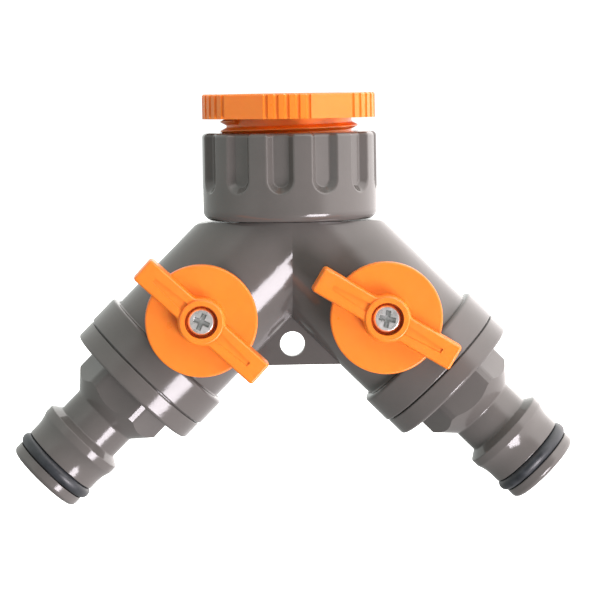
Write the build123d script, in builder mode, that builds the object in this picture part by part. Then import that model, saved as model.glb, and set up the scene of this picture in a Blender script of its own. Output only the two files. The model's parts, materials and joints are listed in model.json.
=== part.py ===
from build123d import *
import math
import os

# Two-way garden hose splitter with a quarter-turn ball valve in each arm, in millimetres.
#
# The origin is the middle of the tap socket's mouth. +Z points up along the inlet axis,
# the two outlet arms lie in the XZ plane, and the valve handles face -Y.
# Along an arm, distances are measured from the point where the two arm axes cross.
# On a valve, heights are measured from the arm's axis out towards the handle.

# Pipe threads, parallel, 14 to the inch
PITCH = 1.814
FLANK_SLOPE = math.tan(math.radians(27.5))
TAP_MAJOR_R = 20.955 / 2
TAP_MINOR_R = 18.631 / 2
COUPLING_MAJOR_R = 26.441 / 2
COUPLING_MINOR_R = 24.117 / 2
TOOTH = 0.787            # thickness at the pitch line, which leaves 0.12 on each flank
RIDGE_SINK = 0.15        # how far a thread ridge reaches into its wall
NUT_CREST_R = COUPLING_MINOR_R + 0.19
NUT_ROOT_R = COUPLING_MAJOR_R + 0.18
SOCKET_ROOT_R = TAP_MAJOR_R + 0.1
SOCKET_CREST_R = TAP_MINOR_R + 0.015

# Heights on the inlet axis
FLANGE_BOTTOM = -4.7
NUT_TOP = -7.45
NUT_BOTTOM = -24.2
BODY_TOP = -24.4
CROSSING_Z = -25.0
ADAPTER_BOTTOM = -16.2
THREAD_PHASE = -6.2      # where the adapter's thread ridge passes +X

# Adapter flange
FLANGE_R = 17.1
FLANGE_FLAT = 16.5
RIB_GROOVE_R = 0.45
RIB_STEP = 6.9
FLANGE_TURN = -2.3

# Tap socket in the adapter
MOUTH_R = 10.75
MOUTH_DEPTH = 1.4
SOCKET_THREAD_END = -11.0
WASHER_RECESS_TOP = -13.0
WASHER_SEAT = -14.9
WASHER_RECESS_R = 9.6
ADAPTER_WASHER_R = 9.5
WASHER_HOLE_R = 5.8
ADAPTER_BORE_R = 6.5

# Swivel nut and the inlet spigot that it turns on
NUT_R = 16.8
NUT_EDGE = 1.8
NUT_RIM = 0.8
FLUTE_LIP = 0.5
NUT_WEB = 3.1
FLUTES = 12
FLUTE_FLOOR_R = 15.3
FLUTE_FLOOR_HALF = 1.45
FLUTE_MOUTH_HALF = 2.75
FLUTE_FLOOR_ROUND = 0.5
FLUTE_END = -16.15       # centre of the round lower end
FLUTE_TURN = -7.5
SPIGOT_FLANGE_R = 11.9
SPIGOT_FLANGE_TOP = -18.35
SPIGOT_FLANGE_BOTTOM = -20.9
SPIGOT_NECK_R = 10.0
SPIGOT_PLUG_R = 8.8
SPIGOT_BOTTOM = -29.2
SPIGOT_BORE_R = 6.5
NUT_WEB_BORE_R = 10.35
INLET_WASHER_R = 11.8
INLET_WASHER_TOP = -16.25
INLET_WASHER_HOLE_R = 7.0
SPIGOT_ORING = 0.77      # section radius
SPIGOT_ORING_Z = -26.0

# Manifold body
ARM_R = 13.0
BODY_SHOULDER_R = 3.5    # where the arms' upper sides meet the flat top
ARM_ANGLE = 45.0
SOCKET_R = 8.85
SOCKET_BOTTOM = -33.7
PASSAGE_R = 4.3
PASSAGE_START = 6.0
COLLAR_R = 14.4
COLLAR_START = 33.9
ARM_END = 40.0
CHAMBER_R = 9.0
WEB_THICKNESS = 3.0
WEB_TOP = 13.0           # below the crossing
WEB_BOTTOM = 27.4
WEB_HALF_WIDTH = 11.0
HANG_HOLE_R = 2.4
HANG_HOLE_DROP = 23.3

# Ball valves
VALVE_AT = 24.65
BALL_R = 8.0
BALL_BORE_R = 4.25
BALL_SLOT_FLOOR = 5.4
BALL_SLOT_WIDTH = 3.0
SEAT_GAP = 0.06
SEAT_R = 8.9
SEAT_BORE_R = 4.6
SEAT_NEAR = 5.5          # from the ball's centre
SEAT_FAR = 9.5
STEM_TANG = (9.0, 2.9)
STEM_TANG_BOTTOM = 5.5
STEM_FLANGE_R = 5.3
STEM_FLANGE_BOTTOM = 8.3
STEM_FLANGE_TOP = 9.7
STEM_R = 3.95
STEM_SHOULDER = 14.9
STEM_DRIVE = 5.0
STEM_TOP = 16.9
STEM_ORING = 0.57        # section radius
STEM_ORING_HEIGHTS = (11.2, 13.0)
STEM_GROOVE = (1.4, 1.1)
POCKET_R = 5.45
POCKET_TOP = 9.9
STEM_BORE_R = 4.05
BOSS_R = 9.0
BOSS_TOP = 14.6

# Handles
DISC_R = 10.6
HANDLE_BOTTOM = 15.0
DISC_TOP = 17.6
BAR = (30.1, 5.3)
BAR_LIMITS = (-45.0, 45.0)        # bar's angle at the two ends of its travel
BAR_TOP = 20.2
HUB_R = 4.6
HUB_TOP = 20.6
COUNTERBORE_R = 3.1
SCREW_SEAT = 17.9
SCREW_CLEARANCE_R = 1.6
DRIVE_SOCKET = 5.2
DRIVE_SOCKET_TOP = 17.0
BAR_FILLET = 1.3         # where the bar's sides meet the hub
BAR_DRAFT = 5.0          # degrees
BAR_GROOVE = (3.4, 11.9)          # start and end, from the screw's centre
BAR_GROOVE_HALF = (0.95, 0.45)    # half width at the start and at the end
BAR_GROOVE_DEPTH = 0.3
HUB_RIM_R = 4.2
STOP_LUG = (6.2, 8.0, 12.0)       # inner radius, outer radius, half angle
STOP_LUG_TOP = 16.1
STOP_TRACK = (5.9, 8.3, 13.0)
STOP_TRACK_TOP = 16.4

# Handle screws
SCREW_HEAD_R = 2.6
SCREW_HEAD_TOP = 19.6
SCREW_R = 1.3
SCREW_TIP = 9.6
SCREW_HOLE_R = 1.35
RECESS = (3.3, 1.0, 1.2)

# Outlet nipples, measured along the arm
NIPPLE_REBATE = 40.25
NIPPLE_REBATE_R = 13.2
NIPPLE_FLANGE_R = 14.2
NIPPLE_FLANGE_END = 44.2
HEXAGON_CORNER_R = 9.95
HEXAGON_FLAT = 9.0
HEXAGON_ROUND = 2.6
HEXAGON_END = 48.2
CONE_END = 51.7
NECK_R = 6.8
NECK_END = 56.3
SHOULDER = 57.5
HEAD_R = 8.6
HEAD_BAND_END = 59.1
HEAD_ARC_END = 62.2      # where the head's hollow taper ends
HEAD_END_R = 7.97
HEAD_END = 64.0
GROOVE_R = 5.9
GROOVE_END = 66.6
TIP_R = 7.9
TIP_END = 68.9
NIPPLE_BORE_R = 4.8
NIPPLE_ORING = 1.29      # section radius
PLUG_R = 8.95
PLUG_START = VALVE_AT + SEAT_FAR + 0.05
FLANGE_SEAL = 0.83       # section radius
SEAL_GROOVE_DEPTH = 1.63
FLANGE_SEAL_AT = 38.2

# Rounding of the nipple's profile: a radius, and its corners as (radius, place along the arm)
NIPPLE_ROUNDING = (
    (1.0, [(TIP_R, TIP_END)]),
    (0.6, [(NIPPLE_FLANGE_R, NIPPLE_FLANGE_END), (NECK_R, CONE_END), (HEAD_R, HEAD_BAND_END)]),
    (0.4, [(NECK_R, NECK_END), (NIPPLE_BORE_R, TIP_END)]),
    (0.3, [(HEAD_R, SHOULDER), (NIPPLE_FLANGE_R, NIPPLE_REBATE)]),
    (0.2, [(HEAD_END_R, HEAD_END), (TIP_R, GROOVE_END)]),
)

# Each side: arm direction, handle bar's angle at rest, hexagon's turn.
# Angles are seen from the front, anticlockwise from +X.
SIDES = {
    "left": {"arm": -180 + ARM_ANGLE, "bar": -42.9, "hexagon": 37.0},
    "right": {"arm": -ARM_ANGLE, "bar": -31.3, "hexagon": 30.0},
}
CROSSING = Vector(0, 0, CROSSING_Z)
FRONT = Vector(0, -1, 0)

os.makedirs("parts", exist_ok=True)


def finish(part, name):
    """Labels a piece and writes it."""
    part.label = name
    export_step(part, f"parts/{name}.step")


def direction(angle):
    """Unit vector in the XZ plane, at an angle seen from the front."""
    return Vector(math.cos(math.radians(angle)), 0, math.sin(math.radians(angle)))


def arm_axis(side):
    return Axis(CROSSING, direction(SIDES[side]["arm"]))


def arm_profile(side):
    """Plane through an arm's axis: x is the radius and y the distance from the crossing."""
    along = direction(SIDES[side]["arm"])
    return Plane(origin=CROSSING, x_dir=(0, 1, 0), z_dir=Vector(0, 1, 0).cross(along))


def arm_section(side, distance):
    """Plane across an arm, with x towards the front."""
    along = direction(SIDES[side]["arm"])
    return Plane(origin=CROSSING + along * distance, x_dir=FRONT, z_dir=along)


def valve_section(side, height, angle):
    """Plane across a valve's axis, seen from the front, with x at the stated angle."""
    centre = CROSSING + direction(SIDES[side]["arm"]) * VALVE_AT
    return Plane(origin=centre + FRONT * height, x_dir=direction(angle), z_dir=FRONT)


def inlet_section(height):
    return Plane.XY.offset(height)


def tooth_half(radius, wall_r, crest_r):
    """Half the thickness of a thread ridge at a radius."""
    outward = 1 if crest_r > wall_r else -1
    return TOOTH / 2 - outward * FLANK_SLOPE * (radius - (wall_r + crest_r) / 2)


def add_thread(wall_r, crest_r, start, length):
    """Joins a right-handed helical ridge to the current part's wall. It starts on the +X side."""
    outward = 1 if crest_r > wall_r else -1
    base = -outward * RIDGE_SINK
    crest = crest_r - wall_r
    base_half = tooth_half(wall_r + base, wall_r, crest_r)
    crest_half = tooth_half(crest_r, wall_r, crest_r)
    with BuildPart(mode=Mode.PRIVATE) as ridge:
        with BuildLine():
            Helix(pitch=PITCH, height=length, radius=wall_r, center=(0, 0, start))
        with BuildSketch(Plane(origin=(wall_r, 0, start), x_dir=(1, 0, 0), z_dir=(0, 1, 0))):
            with BuildLine():
                Polyline(
                    (base, -base_half),
                    (crest, -crest_half),
                    (crest, crest_half),
                    (base, base_half),
                    close=True,
                )
            make_face()
        sweep(is_frenet=True)
    add(ridge.part)


def ring(plane, outer, inner, height):
    """Adds a flat ring to the current part."""
    with BuildSketch(plane) as outline:
        Circle(outer)
        Circle(inner, mode=Mode.SUBTRACT)
    extrude(outline.sketch, amount=height)


def round_corner(sketch, x, y, radius):
    """Rounds the corner of a sketch that is nearest to a point."""
    fillet(sketch.vertices().sort_by_distance((x, y))[0], radius)


def sector(inner, outer, start, end):
    """Adds a ring sector to the current sketch, between two angles."""
    middle = math.radians((start + end) / 2)
    first = math.radians(start)
    last = math.radians(end)
    with BuildLine() as outline:
        ThreePointArc(
            (outer * math.cos(first), outer * math.sin(first)),
            (outer * math.cos(middle), outer * math.sin(middle)),
            (outer * math.cos(last), outer * math.sin(last)),
        )
        Line(
            (outer * math.cos(last), outer * math.sin(last)),
            (inner * math.cos(last), inner * math.sin(last)),
        )
        ThreePointArc(
            (inner * math.cos(last), inner * math.sin(last)),
            (inner * math.cos(middle), inner * math.sin(middle)),
            (inner * math.cos(first), inner * math.sin(first)),
        )
        Line(
            (inner * math.cos(first), inner * math.sin(first)),
            (outer * math.cos(first), outer * math.sin(first)),
        )
    make_face(outline.edges())


# ---- Tap side: adapter and its washer ----

with BuildPart() as thread_adapter:
    with BuildSketch(inlet_section(FLANGE_BOTTOM)) as flange_outline:
        Circle(FLANGE_R)
        RegularPolygon(
            radius=FLANGE_FLAT,
            side_count=6,
            major_radius=False,
            rotation=FLANGE_TURN - 90,
            mode=Mode.INTERSECT,
        )
        for step in (-2, -1, 0, 1, 2):
            with PolarLocations(FLANGE_R, 6, start_angle=FLANGE_TURN - 90 + step * RIB_STEP):
                Circle(RIB_GROOVE_R, mode=Mode.SUBTRACT)
    extrude(amount=-FLANGE_BOTTOM)
    chamfer(thread_adapter.faces().sort_by(Axis.Z)[-1].outer_wire().edges(), 0.25)
    with BuildSketch(inlet_section(ADAPTER_BOTTOM)):
        Circle(COUPLING_MINOR_R)
    extrude(amount=FLANGE_BOTTOM - ADAPTER_BOTTOM)
    with BuildSketch(inlet_section(SOCKET_THREAD_END)):
        Circle(SOCKET_ROOT_R)
    extrude(amount=-SOCKET_THREAD_END, mode=Mode.SUBTRACT)
    with BuildSketch(inlet_section(-MOUTH_DEPTH)):
        Circle(MOUTH_R)
    extrude(amount=MOUTH_DEPTH, mode=Mode.SUBTRACT)
    with BuildSketch(inlet_section(WASHER_RECESS_TOP)):
        Circle(TAP_MINOR_R)
    extrude(amount=SOCKET_THREAD_END - WASHER_RECESS_TOP, mode=Mode.SUBTRACT)
    with BuildSketch(inlet_section(WASHER_SEAT)):
        Circle(WASHER_RECESS_R)
    extrude(amount=WASHER_RECESS_TOP - WASHER_SEAT, mode=Mode.SUBTRACT)
    with BuildSketch(inlet_section(ADAPTER_BOTTOM)):
        Circle(ADAPTER_BORE_R)
    extrude(amount=WASHER_SEAT - ADAPTER_BOTTOM, mode=Mode.SUBTRACT)
    add_thread(COUPLING_MINOR_R, COUPLING_MAJOR_R, THREAD_PHASE - 5 * PITCH, 10.15)
    add_thread(SOCKET_ROOT_R, SOCKET_CREST_R, -10.1, 7.7)
finish(thread_adapter.part, "thread_adapter")

with BuildPart() as adapter_washer:
    ring(inlet_section(WASHER_SEAT), ADAPTER_WASHER_R, WASHER_HOLE_R, 1.8)
finish(adapter_washer.part, "adapter_washer")

with BuildPart() as inlet_washer:
    ring(
        inlet_section(SPIGOT_FLANGE_TOP + 0.05),
        INLET_WASHER_R,
        INLET_WASHER_HOLE_R,
        INLET_WASHER_TOP - SPIGOT_FLANGE_TOP - 0.05,
    )
finish(inlet_washer.part, "inlet_washer")

# ---- Swivel nut ----


def is_flute_lip(edge):
    """True for an edge where a flute meets the nut's round side."""
    points = [edge @ 0, edge @ 0.5, edge @ 1]
    heights = [point.Z for point in points]
    on_side = all(abs(math.hypot(point.X, point.Y) - NUT_R) < 0.01 for point in points)
    return on_side and max(heights) - min(heights) > 1


with BuildPart() as swivel_nut:
    with BuildSketch(inlet_section(NUT_BOTTOM)):
        Circle(NUT_R)
    extrude(amount=NUT_TOP - NUT_BOTTOM)
    fillet(swivel_nut.edges().sort_by(Axis.Z)[0], NUT_EDGE)
    with BuildSketch(inlet_section(NUT_BOTTOM + NUT_WEB)):
        Circle(NUT_ROOT_R)
    extrude(amount=NUT_TOP - NUT_BOTTOM - NUT_WEB, mode=Mode.SUBTRACT)
    with BuildSketch(inlet_section(NUT_BOTTOM)):
        Circle(NUT_WEB_BORE_R)
    extrude(amount=NUT_WEB, mode=Mode.SUBTRACT)
    with BuildPart(mode=Mode.PRIVATE) as flute:
        depth = NUT_R - FLUTE_FLOOR_R
        with BuildSketch(inlet_section(FLUTE_END)) as flute_half:
            with BuildLine():
                Polyline(
                    (-depth, 0),
                    (-depth, FLUTE_FLOOR_HALF),
                    (0, FLUTE_MOUTH_HALF),
                    (depth, 2 * FLUTE_MOUTH_HALF - FLUTE_FLOOR_HALF),
                    (depth, 0),
                    close=True,
                )
            make_face()
            round_corner(flute_half, -depth, FLUTE_FLOOR_HALF, FLUTE_FLOOR_ROUND)
        revolve(axis=Axis((0, 0, FLUTE_END), (1, 0, 0)), revolution_arc=360)
        with BuildSketch(inlet_section(FLUTE_END)):
            add(flute_half.sketch_local)
            mirror(flute_half.sketch_local, about=Plane.XZ)
        extrude(amount=NUT_TOP - FLUTE_END + 1)
    with PolarLocations(NUT_R, FLUTES, start_angle=FLUTE_TURN - 90):
        add(flute.part, mode=Mode.SUBTRACT)
    fillet(swivel_nut.edges().filter_by(is_flute_lip), FLUTE_LIP)
    fillet(swivel_nut.faces().sort_by(Axis.Z)[-1].outer_wire().edges(), NUT_RIM)
    add_thread(NUT_ROOT_R, NUT_CREST_R, THREAD_PHASE - 6.5 * PITCH, 9.5)
finish(swivel_nut.part, "swivel_nut")

# ---- Inlet spigot, which holds the nut to the body ----

with BuildPart() as inlet_spigot:
    with BuildSketch(Plane.XZ):
        with BuildLine():
            Polyline(
                (SPIGOT_BORE_R, SPIGOT_FLANGE_TOP),
                (SPIGOT_FLANGE_R, SPIGOT_FLANGE_TOP),
                (SPIGOT_FLANGE_R, SPIGOT_FLANGE_BOTTOM),
                (SPIGOT_NECK_R, SPIGOT_FLANGE_BOTTOM),
                (SPIGOT_NECK_R, BODY_TOP),
                (SPIGOT_PLUG_R, BODY_TOP),
                (SPIGOT_PLUG_R, SPIGOT_ORING_Z + 0.9),
                (SPIGOT_PLUG_R - 1.5, SPIGOT_ORING_Z + 0.9),
                (SPIGOT_PLUG_R - 1.5, SPIGOT_ORING_Z - 0.9),
                (SPIGOT_PLUG_R, SPIGOT_ORING_Z - 0.9),
                (SPIGOT_PLUG_R, SPIGOT_BOTTOM),
                (SPIGOT_BORE_R, SPIGOT_BOTTOM),
                close=True,
            )
        make_face()
    revolve(axis=Axis.Z)
finish(inlet_spigot.part, "inlet_spigot")


def oring(name, axis, plane, middle_r, at, section_r):
    """A ring of round section, where plane holds the axis as its y direction."""
    with BuildPart() as seal:
        with BuildSketch(plane):
            with Locations((middle_r, at)):
                Circle(section_r)
        revolve(axis=axis)
    finish(seal.part, name)


oring(
    "inlet_spigot_oring",
    Axis.Z,
    Plane.XZ,
    SPIGOT_PLUG_R - 1.5 + SPIGOT_ORING,
    SPIGOT_ORING_Z,
    SPIGOT_ORING,
)

# ---- Manifold body ----

with BuildPart() as manifold_body:
    for side in SIDES:
        with BuildSketch(arm_profile(side)) as arm:
            with BuildLine():
                start = Line((0, 0), (ARM_R, 0))
                Polyline(
                    start @ 1,
                    (ARM_R, COLLAR_START),
                    (COLLAR_R, COLLAR_START + 0.25),
                    (COLLAR_R, ARM_END),
                    (0, ARM_END),
                    (0, 0),
                )
            make_face()
            round_corner(arm, ARM_R, COLLAR_START, 0.35)
            round_corner(arm, COLLAR_R, COLLAR_START + 0.25, 0.7)
            round_corner(arm, COLLAR_R, ARM_END, 0.25)
        revolve(axis=arm_axis(side))
        with BuildSketch(valve_section(side, 0, 0)):
            Circle(BOSS_R)
        extrude(amount=BOSS_TOP)
    with Locations(CROSSING):
        Sphere(ARM_R)
    with BuildSketch(Plane.XZ.offset(-WEB_THICKNESS / 2)):
        with BuildLine():
            Polyline(
                (0, CROSSING_Z - WEB_TOP),
                (WEB_HALF_WIDTH, CROSSING_Z - WEB_BOTTOM),
                (-WEB_HALF_WIDTH, CROSSING_Z - WEB_BOTTOM),
                close=True,
            )
        make_face()
        with Locations((0, CROSSING_Z - HANG_HOLE_DROP)):
            Circle(HANG_HOLE_R, mode=Mode.SUBTRACT)
    extrude(amount=WEB_THICKNESS)
    split(bisect_by=inlet_section(BODY_TOP), keep=Keep.BOTTOM)
    corner = ARM_R / math.cos(math.radians(ARM_ANGLE)) - (BODY_TOP - CROSSING_Z)
    reach = BODY_SHOULDER_R * math.tan(math.radians(ARM_ANGLE / 2))
    drop = reach * math.sin(math.radians(ARM_ANGLE))
    with BuildSketch(Plane.XZ):
        with BuildLine():
            TangentArc(
                (corner - reach, BODY_TOP), (corner + drop, BODY_TOP - drop), tangent=(1, 0)
            )
            Polyline(
                (corner + drop, BODY_TOP - drop),
                (corner + drop, BODY_TOP + 1),
                (corner - reach, BODY_TOP + 1),
                (corner - reach, BODY_TOP),
            )
        make_face()
    revolve(axis=Axis.Z, mode=Mode.SUBTRACT)
    with BuildSketch(inlet_section(SOCKET_BOTTOM)):
        Circle(SOCKET_R)
    extrude(amount=BODY_TOP - SOCKET_BOTTOM, mode=Mode.SUBTRACT)
    for side, facts in SIDES.items():
        with BuildSketch(arm_section(side, PASSAGE_START)):
            Circle(PASSAGE_R)
        extrude(amount=VALVE_AT - PASSAGE_START, mode=Mode.SUBTRACT)
        with BuildSketch(arm_section(side, VALVE_AT - SEAT_FAR)):
            Circle(CHAMBER_R)
        extrude(amount=ARM_END - VALVE_AT + SEAT_FAR, mode=Mode.SUBTRACT)
        with BuildSketch(valve_section(side, 0, 0)):
            Circle(POCKET_R)
        extrude(amount=POCKET_TOP, mode=Mode.SUBTRACT)
        with BuildSketch(valve_section(side, POCKET_TOP, 0)):
            Circle(STEM_BORE_R)
        extrude(amount=BOSS_TOP - POCKET_TOP, mode=Mode.SUBTRACT)
        with BuildSketch(valve_section(side, BOSS_TOP, facts["arm"])):
            sector(STOP_LUG[0], STOP_LUG[1], -STOP_LUG[2], STOP_LUG[2])
        extrude(amount=STOP_LUG_TOP - BOSS_TOP)
finish(manifold_body.part, "manifold_body")

# ---- Valves ----


def ball(side):
    with BuildPart() as made:
        centre = CROSSING + direction(SIDES[side]["arm"]) * VALVE_AT
        with Locations(centre):
            Sphere(BALL_R)
        along = direction(SIDES[side]["bar"])
        with BuildSketch(Plane(origin=centre, z_dir=along)):
            Circle(BALL_BORE_R)
        extrude(amount=BALL_R, both=True, mode=Mode.SUBTRACT)
        with BuildSketch(valve_section(side, BALL_SLOT_FLOOR, SIDES[side]["bar"])):
            Rectangle(BALL_SLOT_WIDTH, 2.5 * BALL_R)
        extrude(amount=BALL_R, mode=Mode.SUBTRACT)
    finish(made.part, f"{side}_ball")


def seat(side, name, sign):
    """Ring with a round face towards the ball, before the ball (-1) or after it (+1)."""
    with BuildPart() as made:
        near = VALVE_AT + sign * SEAT_NEAR
        with BuildSketch(arm_section(side, near)):
            Circle(SEAT_R)
            Circle(SEAT_BORE_R, mode=Mode.SUBTRACT)
        extrude(amount=sign * (SEAT_FAR - SEAT_NEAR))
        with Locations(CROSSING + direction(SIDES[side]["arm"]) * VALVE_AT):
            Sphere(BALL_R + SEAT_GAP, mode=Mode.SUBTRACT)
    finish(made.part, f"{side}_{name}")


def stem(side):
    """Tang in the ball, flange behind the wall, two seal grooves and a square drive."""
    bar = SIDES[side]["bar"]
    with BuildPart() as made:
        with BuildSketch(valve_section(side, STEM_TANG_BOTTOM, bar)):
            Rectangle(STEM_TANG[1], STEM_TANG[0])
        extrude(amount=STEM_FLANGE_BOTTOM - STEM_TANG_BOTTOM)
        with BuildSketch(valve_section(side, STEM_FLANGE_BOTTOM, bar)):
            Circle(STEM_FLANGE_R)
        extrude(amount=STEM_FLANGE_TOP - STEM_FLANGE_BOTTOM)
        with BuildSketch(valve_section(side, STEM_FLANGE_TOP, bar)):
            Circle(STEM_R)
        extrude(amount=STEM_SHOULDER - STEM_FLANGE_TOP)
        with BuildSketch(valve_section(side, STEM_SHOULDER, bar)):
            Rectangle(STEM_DRIVE, STEM_DRIVE)
        extrude(amount=STEM_TOP - STEM_SHOULDER)
        for height in STEM_ORING_HEIGHTS:
            with BuildSketch(valve_section(side, height - STEM_GROOVE[0] / 2, bar)):
                Circle(STEM_R + 1)
                Circle(STEM_R - STEM_GROOVE[1], mode=Mode.SUBTRACT)
            extrude(amount=STEM_GROOVE[0], mode=Mode.SUBTRACT)
        with BuildSketch(valve_section(side, SCREW_TIP - 0.4, bar)):
            Circle(SCREW_HOLE_R)
        extrude(amount=STEM_TOP - SCREW_TIP + 0.4, mode=Mode.SUBTRACT)
    finish(made.part, f"{side}_stem")


def stem_orings(side):
    middle_r = STEM_R - STEM_GROOVE[1] + STEM_ORING
    with BuildPart() as made:
        for height in STEM_ORING_HEIGHTS:
            with Locations(valve_section(side, height, 0)):
                Torus(middle_r, STEM_ORING)
    finish(made.part, f"{side}_stem_orings")


def handle(side):
    """Disc with a raised bar across it, a hub round the screw and a hidden stop track."""
    facts = SIDES[side]
    bar = facts["bar"]
    with BuildPart() as made:
        with BuildSketch(valve_section(side, HANDLE_BOTTOM, bar)):
            Circle(DISC_R)
        extrude(amount=DISC_TOP - HANDLE_BOTTOM)
        fillet(made.edges().group_by(Axis.Y)[0], 0.4)
        with BuildSketch(valve_section(side, HANDLE_BOTTOM, bar)):
            RectangleRounded(BAR[0], BAR[1], 0.7)
        extrude(amount=DISC_TOP - HANDLE_BOTTOM)
        with BuildSketch(valve_section(side, DISC_TOP, bar)) as raised:
            RectangleRounded(BAR[0], BAR[1], 0.7)
            Circle(HUB_R)
            fillet(raised.vertices().filter_by(lambda v: Vector(v).length < HUB_R + 0.1), BAR_FILLET)
        extrude(amount=BAR_TOP - DISC_TOP, taper=BAR_DRAFT)
        fillet(made.faces().sort_by(Axis.Y)[0].outer_wire().edges(), 0.45)
        with BuildSketch(valve_section(side, BAR_TOP, bar)):
            Circle(HUB_RIM_R)
        extrude(amount=HUB_TOP - BAR_TOP)
        fillet(made.faces().sort_by(Axis.Y)[0].outer_wire().edges(), 0.3)
        near, far = BAR_GROOVE
        near_half, far_half = BAR_GROOVE_HALF
        with BuildSketch(valve_section(side, BAR_TOP - BAR_GROOVE_DEPTH, bar)):
            for sign in (-1, 1):
                with BuildLine():
                    Polyline(
                        (sign * near, -near_half),
                        (sign * far, -far_half),
                        (sign * far, far_half),
                        (sign * near, near_half),
                        close=True,
                    )
                make_face()
            Circle(HUB_RIM_R, mode=Mode.SUBTRACT)
        extrude(amount=BAR_GROOVE_DEPTH, mode=Mode.SUBTRACT)
        with BuildSketch(valve_section(side, SCREW_SEAT, bar)):
            Circle(COUNTERBORE_R)
        extrude(amount=HUB_TOP - SCREW_SEAT, mode=Mode.SUBTRACT)
        with BuildSketch(valve_section(side, HANDLE_BOTTOM, bar)):
            Circle(SCREW_CLEARANCE_R)
        extrude(amount=SCREW_SEAT - HANDLE_BOTTOM, mode=Mode.SUBTRACT)
        with BuildSketch(valve_section(side, HANDLE_BOTTOM, bar)):
            Rectangle(DRIVE_SOCKET, DRIVE_SOCKET)
        extrude(amount=DRIVE_SOCKET_TOP - HANDLE_BOTTOM, mode=Mode.SUBTRACT)
        with BuildSketch(valve_section(side, HANDLE_BOTTOM, facts["arm"])):
            back = BAR_LIMITS[0] - bar - STOP_TRACK[2]
            forward = BAR_LIMITS[1] - bar + STOP_TRACK[2]
            sector(STOP_TRACK[0], STOP_TRACK[1], -forward, -back)
        extrude(amount=STOP_TRACK_TOP - HANDLE_BOTTOM, mode=Mode.SUBTRACT)
    finish(made.part, f"{side}_handle")


def handle_screw(side):
    """Pan-head screw with a cross recess."""
    bar = SIDES[side]["bar"]
    with BuildPart() as made:
        with BuildSketch(valve_section(side, SCREW_SEAT, bar)):
            Circle(SCREW_HEAD_R)
        extrude(amount=SCREW_HEAD_TOP - SCREW_SEAT)
        fillet(made.edges().group_by(Axis.Y)[0], 0.55)
        with BuildSketch(valve_section(side, SCREW_TIP, bar)):
            Circle(SCREW_R)
        extrude(amount=SCREW_SEAT - SCREW_TIP)
        with BuildSketch(valve_section(side, SCREW_HEAD_TOP, bar + 20)):
            Rectangle(RECESS[0], RECESS[1])
            Rectangle(RECESS[1], RECESS[0])
        extrude(amount=-RECESS[2], taper=12, mode=Mode.SUBTRACT)
    finish(made.part, f"{side}_handle_screw")


# ---- Outlets ----


def outlet_nipple(side):
    """Flanged nipple for a push-on hose coupling, with a hexagon, a catch groove and a seal groove."""
    with BuildPart() as made:
        with BuildSketch(arm_profile(side)) as profile:
            with BuildLine():
                Polyline(
                    (NIPPLE_BORE_R, PLUG_START),
                    (PLUG_R, PLUG_START),
                    (PLUG_R, FLANGE_SEAL_AT - 1),
                    (PLUG_R - SEAL_GROOVE_DEPTH, FLANGE_SEAL_AT - 1),
                    (PLUG_R - SEAL_GROOVE_DEPTH, FLANGE_SEAL_AT + 1),
                    (PLUG_R, FLANGE_SEAL_AT + 1),
                    (PLUG_R, ARM_END),
                    (NIPPLE_REBATE_R, ARM_END),
                    (NIPPLE_REBATE_R, NIPPLE_REBATE),
                    (NIPPLE_FLANGE_R, NIPPLE_REBATE),
                    (NIPPLE_FLANGE_R, NIPPLE_FLANGE_END),
                    (HEXAGON_CORNER_R, NIPPLE_FLANGE_END),
                    (HEXAGON_CORNER_R, HEXAGON_END),
                    (NECK_R, CONE_END),
                    (NECK_R, NECK_END),
                    (HEAD_R, SHOULDER),
                    (HEAD_R, HEAD_BAND_END),
                )
                TangentArc((HEAD_END_R, HEAD_ARC_END), (HEAD_R, HEAD_BAND_END), tangent=(0, -1))
                Polyline(
                    (HEAD_END_R, HEAD_ARC_END),
                    (HEAD_END_R, HEAD_END),
                    (GROOVE_R, HEAD_END),
                    (GROOVE_R, GROOVE_END),
                    (TIP_R, GROOVE_END),
                    (TIP_R, TIP_END),
                    (NIPPLE_BORE_R, TIP_END),
                    (NIPPLE_BORE_R, PLUG_START),
                )
            make_face()
            for radius, corners in NIPPLE_ROUNDING:
                for r, along in corners:
                    round_corner(profile, r, along, radius)
        revolve(axis=arm_axis(side))
        with BuildSketch(Plane.XY, mode=Mode.PRIVATE) as hexagon:
            RegularPolygon(
                radius=HEXAGON_FLAT,
                side_count=6,
                major_radius=False,
                rotation=SIDES[side]["hexagon"],
            )
            fillet(hexagon.vertices(), HEXAGON_ROUND)
        with BuildSketch(arm_section(side, NIPPLE_FLANGE_END)):
            Circle(HEXAGON_CORNER_R + 1)
            add(hexagon.sketch, mode=Mode.SUBTRACT)
        extrude(amount=CONE_END - NIPPLE_FLANGE_END, mode=Mode.SUBTRACT)
    finish(made.part, f"{side}_outlet_nipple")


for side in SIDES:
    ball(side)
    seat(side, "inner_seat", -1)
    seat(side, "outer_seat", 1)
    stem(side)
    stem_orings(side)
    handle(side)
    handle_screw(side)
    outlet_nipple(side)
    oring(
        f"{side}_nipple_oring",
        arm_axis(side),
        arm_profile(side),
        GROOVE_R + NIPPLE_ORING,
        (HEAD_END + GROOVE_END) / 2,
        NIPPLE_ORING,
    )
    oring(
        f"{side}_flange_seal",
        arm_axis(side),
        arm_profile(side),
        PLUG_R - SEAL_GROOVE_DEPTH + FLANGE_SEAL,
        FLANGE_SEAL_AT,
        FLANGE_SEAL,
    )
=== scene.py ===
"""Looks of the garden hose splitter: finishes, floor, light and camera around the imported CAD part."""
import json
import math

import bpy
from mathutils import Matrix, Vector


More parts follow.
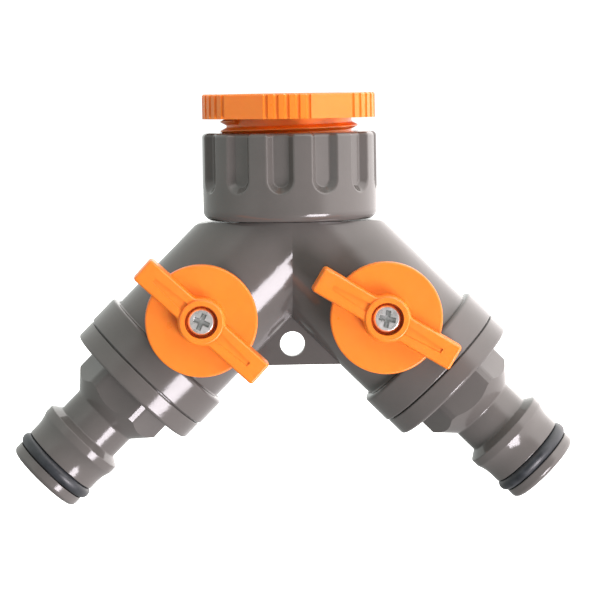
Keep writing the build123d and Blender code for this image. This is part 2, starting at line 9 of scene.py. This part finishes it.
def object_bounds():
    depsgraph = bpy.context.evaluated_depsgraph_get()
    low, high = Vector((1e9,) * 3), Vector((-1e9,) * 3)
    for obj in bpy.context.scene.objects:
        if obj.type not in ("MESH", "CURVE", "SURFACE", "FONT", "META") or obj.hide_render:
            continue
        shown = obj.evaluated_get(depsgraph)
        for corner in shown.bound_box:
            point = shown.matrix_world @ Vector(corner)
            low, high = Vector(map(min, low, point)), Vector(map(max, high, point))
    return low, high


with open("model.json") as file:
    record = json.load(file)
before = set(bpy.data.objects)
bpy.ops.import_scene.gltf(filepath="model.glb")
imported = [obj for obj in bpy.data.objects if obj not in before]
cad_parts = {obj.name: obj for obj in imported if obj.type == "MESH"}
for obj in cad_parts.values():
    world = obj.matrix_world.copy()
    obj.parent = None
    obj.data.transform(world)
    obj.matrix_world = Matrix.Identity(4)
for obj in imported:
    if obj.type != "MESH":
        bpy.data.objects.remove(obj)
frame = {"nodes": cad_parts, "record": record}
CAD_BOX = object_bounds()
MM = 0.001

# Colours, the darker and the lighter patches of each finish
GREY_DARK = (0.098, 0.091, 0.085)
GREY_LIGHT = (0.111, 0.102, 0.096)
ORANGE_DARK = (0.79, 0.2, 0.015)
ORANGE_LIGHT = (0.85, 0.225, 0.018)
RUBBER_DARK = (0.012, 0.014, 0.017)
RUBBER_LIGHT = (0.03, 0.034, 0.04)
ACETAL_DARK = (0.72, 0.71, 0.67)
ACETAL_LIGHT = (0.82, 0.81, 0.78)
NICKEL_DARK = (0.86, 0.85, 0.83)
NICKEL_LIGHT = (0.97, 0.96, 0.95)
# Painted shade: a darker colour in a screw's cross recess, standing in for the shadow there
RECESS_PAINTED_SHADE = (0.6, 0.61, 0.6)
PAPER = (0.95, 0.95, 0.95)

GREY_ROUGHNESS = 0.13
ORANGE_ROUGHNESS = 0.32
ORANGE_SUBSURFACE = 0.3
SUBSURFACE_RADIUS = (1.0, 0.25, 0.06)
SUBSURFACE_DEPTH = 1.6 * MM

# Where a screw's cross recess gets painted shade, as shares of the screw's box: distance from its axis,
# depth from its head
RECESS_REACH = (0.3, 0.36)
RECESS_DEPTH = (0.012, 0.05)

# Camera, about the middle of the part's box
CAMERA_DISTANCE = 600 * MM
CAMERA_AZIMUTH = math.radians(1.48)
CAMERA_ELEVATION = math.radians(3.99)
CAMERA_ROLL = math.radians(-0.86)
CAMERA_AIM = Vector((1.61, 0, -0.5)) * MM
CAMERA_LENS = 186.0
SENSOR = 36.0

# Stage and light
FLOOR_DROP = 0.6
FLOOR_SIZE = 40
KEY_FROM = (0.52, -0.66, -0.555)
KEY_DISTANCE = 0.7
KEY_SIZE = (0.32, 0.32)
KEY_POWER = 6.0
KEY_COLOUR = (1.0, 0.93, 0.99)
ROOM_LEFT = (1.15, (0.96, 1.0, 0.97))     # strength and colour
ROOM_RIGHT = (3.2, (1.0, 0.95, 0.94))
ROOM_BOTTOM = 0.3                          # share of that strength at the bottom
ROOM_FRONT = 0.4                           # strength straight in front
ROOM_RISE = (-0.7, 0.5)                    # from bottom to full strength
ROOM_TURN = (-0.88, -0.6)                  # from the front to the walls
BACKDROP = 1.1
FLOOR_GLOW = 0.9
ROOM_EDGE = (-0.25, 0.45)                  # from left to right


# ---- Materials ----


def node(tree, kind, **settings):
    """Adds a shader node, with its properties or its inputs set by name."""
    made = tree.nodes.new(kind)
    for name, value in settings.items():
        if hasattr(made, name):
            setattr(made, name, value)
        else:
            made.inputs[name.replace("_", " ")].default_value = value
    return made


def noise(tree, scale, detail=3.0, roughness=0.55):
    """Noise in the object's own coordinates, with scale in cells per metre."""
    place = node(tree, "ShaderNodeTexCoord")
    made = node(tree, "ShaderNodeTexNoise", Scale=scale, Detail=detail, Roughness=roughness)
    tree.links.new(place.outputs["Object"], made.inputs["Vector"])
    return made.outputs["Fac"]


def remap(tree, value, low, high, from_low=0.3, from_high=0.7):
    made = node(
        tree, "ShaderNodeMapRange",
        From_Min=from_low, From_Max=from_high, To_Min=low, To_Max=high,
    )
    tree.links.new(value, made.inputs["Value"])
    return made.outputs["Result"]


def blend_colours(tree, factor, first, second):
    """Blends two colours, each a triple or another node's output."""
    made = node(tree, "ShaderNodeMix", data_type="RGBA")
    for name, colour in (("A", first), ("B", second)):
        if isinstance(colour, tuple):
            made.inputs[name].default_value = (*colour, 1)
        else:
            tree.links.new(colour, made.inputs[name])
    tree.links.new(factor, made.inputs["Factor"])
    return made.outputs["Result"]


def bump(tree, shader, layers):
    """Adds bump layers, each a (height, strength, distance in mm)."""
    normal = None
    for height, strength, distance in layers:
        made = node(tree, "ShaderNodeBump", Strength=strength, Distance=distance * MM)
        tree.links.new(height, made.inputs["Height"])
        if normal:
            tree.links.new(normal, made.inputs["Normal"])
        normal = made.outputs["Normal"]
    tree.links.new(normal, shader.inputs["Normal"])


def new_material(name):
    made = bpy.data.materials.new(name)
    made.use_nodes = True
    tree = made.node_tree
    return made, tree, tree.nodes["Principled BSDF"]


def moulded_plastic(name, light, dark, rough, subsurface=0.0):
    """Glossy injection-moulded plastic with faint flow marks, orange peel and fine grain."""
    made, tree, shader = new_material(name)
    flow = noise(tree, 90, 4, 0.6)
    tree.links.new(
        blend_colours(tree, remap(tree, flow, 0, 1), dark, light), shader.inputs["Base Color"]
    )
    smear = noise(tree, 260, 5, 0.65)
    tree.links.new(remap(tree, smear, rough * 0.85, rough * 1.2), shader.inputs["Roughness"])
    shader.inputs["IOR"].default_value = 1.5
    if subsurface:
        shader.inputs["Subsurface Weight"].default_value = subsurface
        shader.inputs["Subsurface Radius"].default_value = SUBSURFACE_RADIUS
        shader.inputs["Subsurface Scale"].default_value = SUBSURFACE_DEPTH
    peel = noise(tree, 420, 2, 0.5)
    grain = noise(tree, 5200, 3, 0.6)
    bump(tree, shader, [(peel, 0.25, 0.12), (grain, 0.12, 0.012)])
    return made


def rubber(name):
    made, tree, shader = new_material(name)
    patches = noise(tree, 500, 4, 0.6)
    tree.links.new(
        blend_colours(tree, remap(tree, patches, 0, 1), RUBBER_DARK, RUBBER_LIGHT),
        shader.inputs["Base Color"],
    )
    tree.links.new(remap(tree, patches, 0.3, 0.5), shader.inputs["Roughness"])
    bump(tree, shader, [(noise(tree, 3500, 3, 0.6), 0.2, 0.02)])
    return made


def acetal(name):
    made, tree, shader = new_material(name)
    patches = noise(tree, 300, 3, 0.5)
    tree.links.new(
        blend_colours(tree, remap(tree, patches, 0, 1), ACETAL_DARK, ACETAL_LIGHT),
        shader.inputs["Base Color"],
    )
    tree.links.new(remap(tree, patches, 0.35, 0.5), shader.inputs["Roughness"])
    bump(tree, shader, [(noise(tree, 4000, 2, 0.5), 0.1, 0.01)])
    return made


def nickel(name):
    """Nickel plate with fine wear, and painted shade darkening the cross recess of a screw that faces
    -Y.
    """
    made, tree, shader = new_material(name)
    patches = noise(tree, 900, 4, 0.6)
    plate = blend_colours(tree, remap(tree, patches, 0, 1), NICKEL_DARK, NICKEL_LIGHT)
    place = node(tree, "ShaderNodeTexCoord")
    split = node(tree, "ShaderNodeSeparateXYZ")
    tree.links.new(place.outputs["Generated"], split.inputs["Vector"])
    middle = node(tree, "ShaderNodeVectorMath", operation="DISTANCE")
    middle.inputs[1].default_value = (0.5, 0, 0.5)
    across = node(tree, "ShaderNodeCombineXYZ")
    tree.links.new(split.outputs["X"], across.inputs["X"])
    tree.links.new(split.outputs["Z"], across.inputs["Z"])
    tree.links.new(across.outputs["Vector"], middle.inputs[0])
    inside = remap(tree, middle.outputs["Value"], 1, 0, *RECESS_REACH)
    deep = remap(tree, split.outputs["Y"], 0, 1, *RECESS_DEPTH)
    # Painted shade: darkens the recess walls and floor, where shadow falls
    painted_shade = node(tree, "ShaderNodeMath", operation="MULTIPLY")
    tree.links.new(inside, painted_shade.inputs[0])
    tree.links.new(deep, painted_shade.inputs[1])
    colour = blend_colours(tree, painted_shade.outputs["Value"], plate, RECESS_PAINTED_SHADE)
    tree.links.new(colour, shader.inputs["Base Color"])
    shader.inputs["Metallic"].default_value = 1.0
    tree.links.new(remap(tree, patches, 0.24, 0.38), shader.inputs["Roughness"])
    bump(tree, shader, [(noise(tree, 2600, 4, 0.7), 0.25, 0.02)])
    return made


MATERIALS = {
    "grey_plastic": moulded_plastic("grey_abs", GREY_LIGHT, GREY_DARK, GREY_ROUGHNESS),
    "orange_plastic": moulded_plastic(
        "orange_plastic", ORANGE_LIGHT, ORANGE_DARK, ORANGE_ROUGHNESS, ORANGE_SUBSURFACE
    ),
    "black_rubber": rubber("nitrile_rubber"),
    "white_acetal": acetal("white_acetal"),
    "screw_steel": nickel("nickel_plate"),
}


def dress_cad_nodes():
    """Gives every CAD node the finish of its slot."""
    for part in frame["record"]["subparts"]:
        mesh = frame["nodes"][part["node"]].data
        mesh.materials.clear()
        mesh.materials.append(MATERIALS[part["material_slot"]])


# ---- Stage, light and camera ----


def plain_material(name, colour, rough):
    made, _, shader = new_material(name)
    shader.inputs["Base Color"].default_value = (*colour, 1)
    shader.inputs["Roughness"].default_value = rough
    shader.inputs["Specular IOR Level"].default_value = 0.1
    return made


def add_floor():
    """Pale floor far below the part, which hangs from its tap."""
    low = CAD_BOX[0][2]
    bpy.ops.mesh.primitive_plane_add(size=FLOOR_SIZE, location=(0, 0, low - FLOOR_DROP))
    floor = bpy.context.object
    floor.name = "floor"
    paper = plain_material("floor_paper", PAPER, 0.9)
    shader = paper.node_tree.nodes["Principled BSDF"]
    shader.inputs["Emission Color"].default_value = (1, 1, 1, 1)
    shader.inputs["Emission Strength"].default_value = FLOOR_GLOW
    floor.data.materials.append(paper)
    floor.visible_diffuse = False
    floor.visible_glossy = False


def add_light(name, towards, distance, size, power, colour):
    """Soft box in a direction from the part's middle, turned to face it."""
    lamp = bpy.data.lights.new(name, "AREA")
    lamp.shape = "RECTANGLE"
    lamp.size, lamp.size_y = size
    lamp.energy = power
    lamp.color = colour
    holder = bpy.data.objects.new(name, lamp)
    low, high = (Vector(corner) for corner in CAD_BOX)
    holder.location = (low + high) / 2 + Vector(towards).normalized() * distance
    holder.rotation_euler = Vector(towards).to_track_quat("Z", "Y").to_euler()
    bpy.context.scene.collection.objects.link(holder)


def add_world():
    """White to the camera. As light, a pale tent: bright on the right, dim below and in front."""
    world = bpy.data.worlds.new("studio")
    bpy.context.scene.world = world
    world.use_nodes = True
    tree = world.node_tree
    tree.nodes.clear()
    place = node(tree, "ShaderNodeTexCoord")
    split = node(tree, "ShaderNodeSeparateXYZ")
    tree.links.new(place.outputs["Generated"], split.inputs["Vector"])

    def ramp(axis, start, end, low, high):
        made = node(
            tree, "ShaderNodeMapRange", interpolation_type="SMOOTHSTEP",
            From_Min=start, From_Max=end, To_Min=low, To_Max=high,
        )
        tree.links.new(split.outputs[axis], made.inputs["Value"])
        return made.outputs["Result"]

    side = ramp("X", *ROOM_EDGE, ROOM_LEFT[0], ROOM_RIGHT[0])
    height = ramp("Z", *ROOM_RISE, ROOM_BOTTOM, 1.0)
    walls = node(tree, "ShaderNodeMath", operation="MULTIPLY")
    tree.links.new(side, walls.inputs[0])
    tree.links.new(height, walls.inputs[1])
    strength = node(tree, "ShaderNodeMix", data_type="FLOAT", A=ROOM_FRONT)
    tree.links.new(ramp("Y", *ROOM_TURN, 0.0, 1.0), strength.inputs["Factor"])
    tree.links.new(walls.outputs["Value"], strength.inputs["B"])
    room = node(tree, "ShaderNodeBackground")
    colour = blend_colours(tree, ramp("X", *ROOM_EDGE, 0.0, 1.0), ROOM_LEFT[1], ROOM_RIGHT[1])
    tree.links.new(colour, room.inputs["Color"])
    tree.links.new(strength.outputs["Result"], room.inputs["Strength"])
    backdrop = node(tree, "ShaderNodeBackground", Color=(1, 1, 1, 1), Strength=BACKDROP)
    path = node(tree, "ShaderNodeLightPath")
    mix = node(tree, "ShaderNodeMixShader")
    out = node(tree, "ShaderNodeOutputWorld")
    tree.links.new(path.outputs["Is Camera Ray"], mix.inputs["Fac"])
    tree.links.new(room.outputs["Background"], mix.inputs[1])
    tree.links.new(backdrop.outputs["Background"], mix.inputs[2])
    tree.links.new(mix.outputs["Shader"], out.inputs["Surface"])


def add_camera():
    low, high = (Vector(corner) for corner in CAD_BOX)
    target = (low + high) / 2
    target.y = 0
    target += CAMERA_AIM
    forward = Vector((
        math.sin(CAMERA_AZIMUTH) * math.cos(CAMERA_ELEVATION),
        math.cos(CAMERA_AZIMUTH) * math.cos(CAMERA_ELEVATION),
        -math.sin(CAMERA_ELEVATION),
    ))
    level = Vector((math.cos(CAMERA_AZIMUTH), -math.sin(CAMERA_AZIMUTH), 0))
    right = Matrix.Rotation(-CAMERA_ROLL, 3, forward) @ level
    up = right.cross(forward)
    lens = bpy.data.cameras.new("camera")
    lens.lens = CAMERA_LENS
    lens.sensor_width = SENSOR
    lens.clip_start = 0.01
    camera = bpy.data.objects.new("camera", lens)
    place = target - forward * CAMERA_DISTANCE
    turn = Matrix((right, up, -forward)).transposed()
    camera.matrix_world = Matrix.Translation(place) @ turn.to_4x4()
    bpy.context.scene.collection.objects.link(camera)
    bpy.context.scene.camera = camera


def set_view():
    scene = bpy.context.scene
    scene.view_settings.view_transform = "Standard"
    scene.view_settings.look = "None"


dress_cad_nodes()
add_floor()
add_world()
add_light("key", KEY_FROM, KEY_DISTANCE, KEY_SIZE, KEY_POWER, KEY_COLOUR)
add_camera()
set_view()
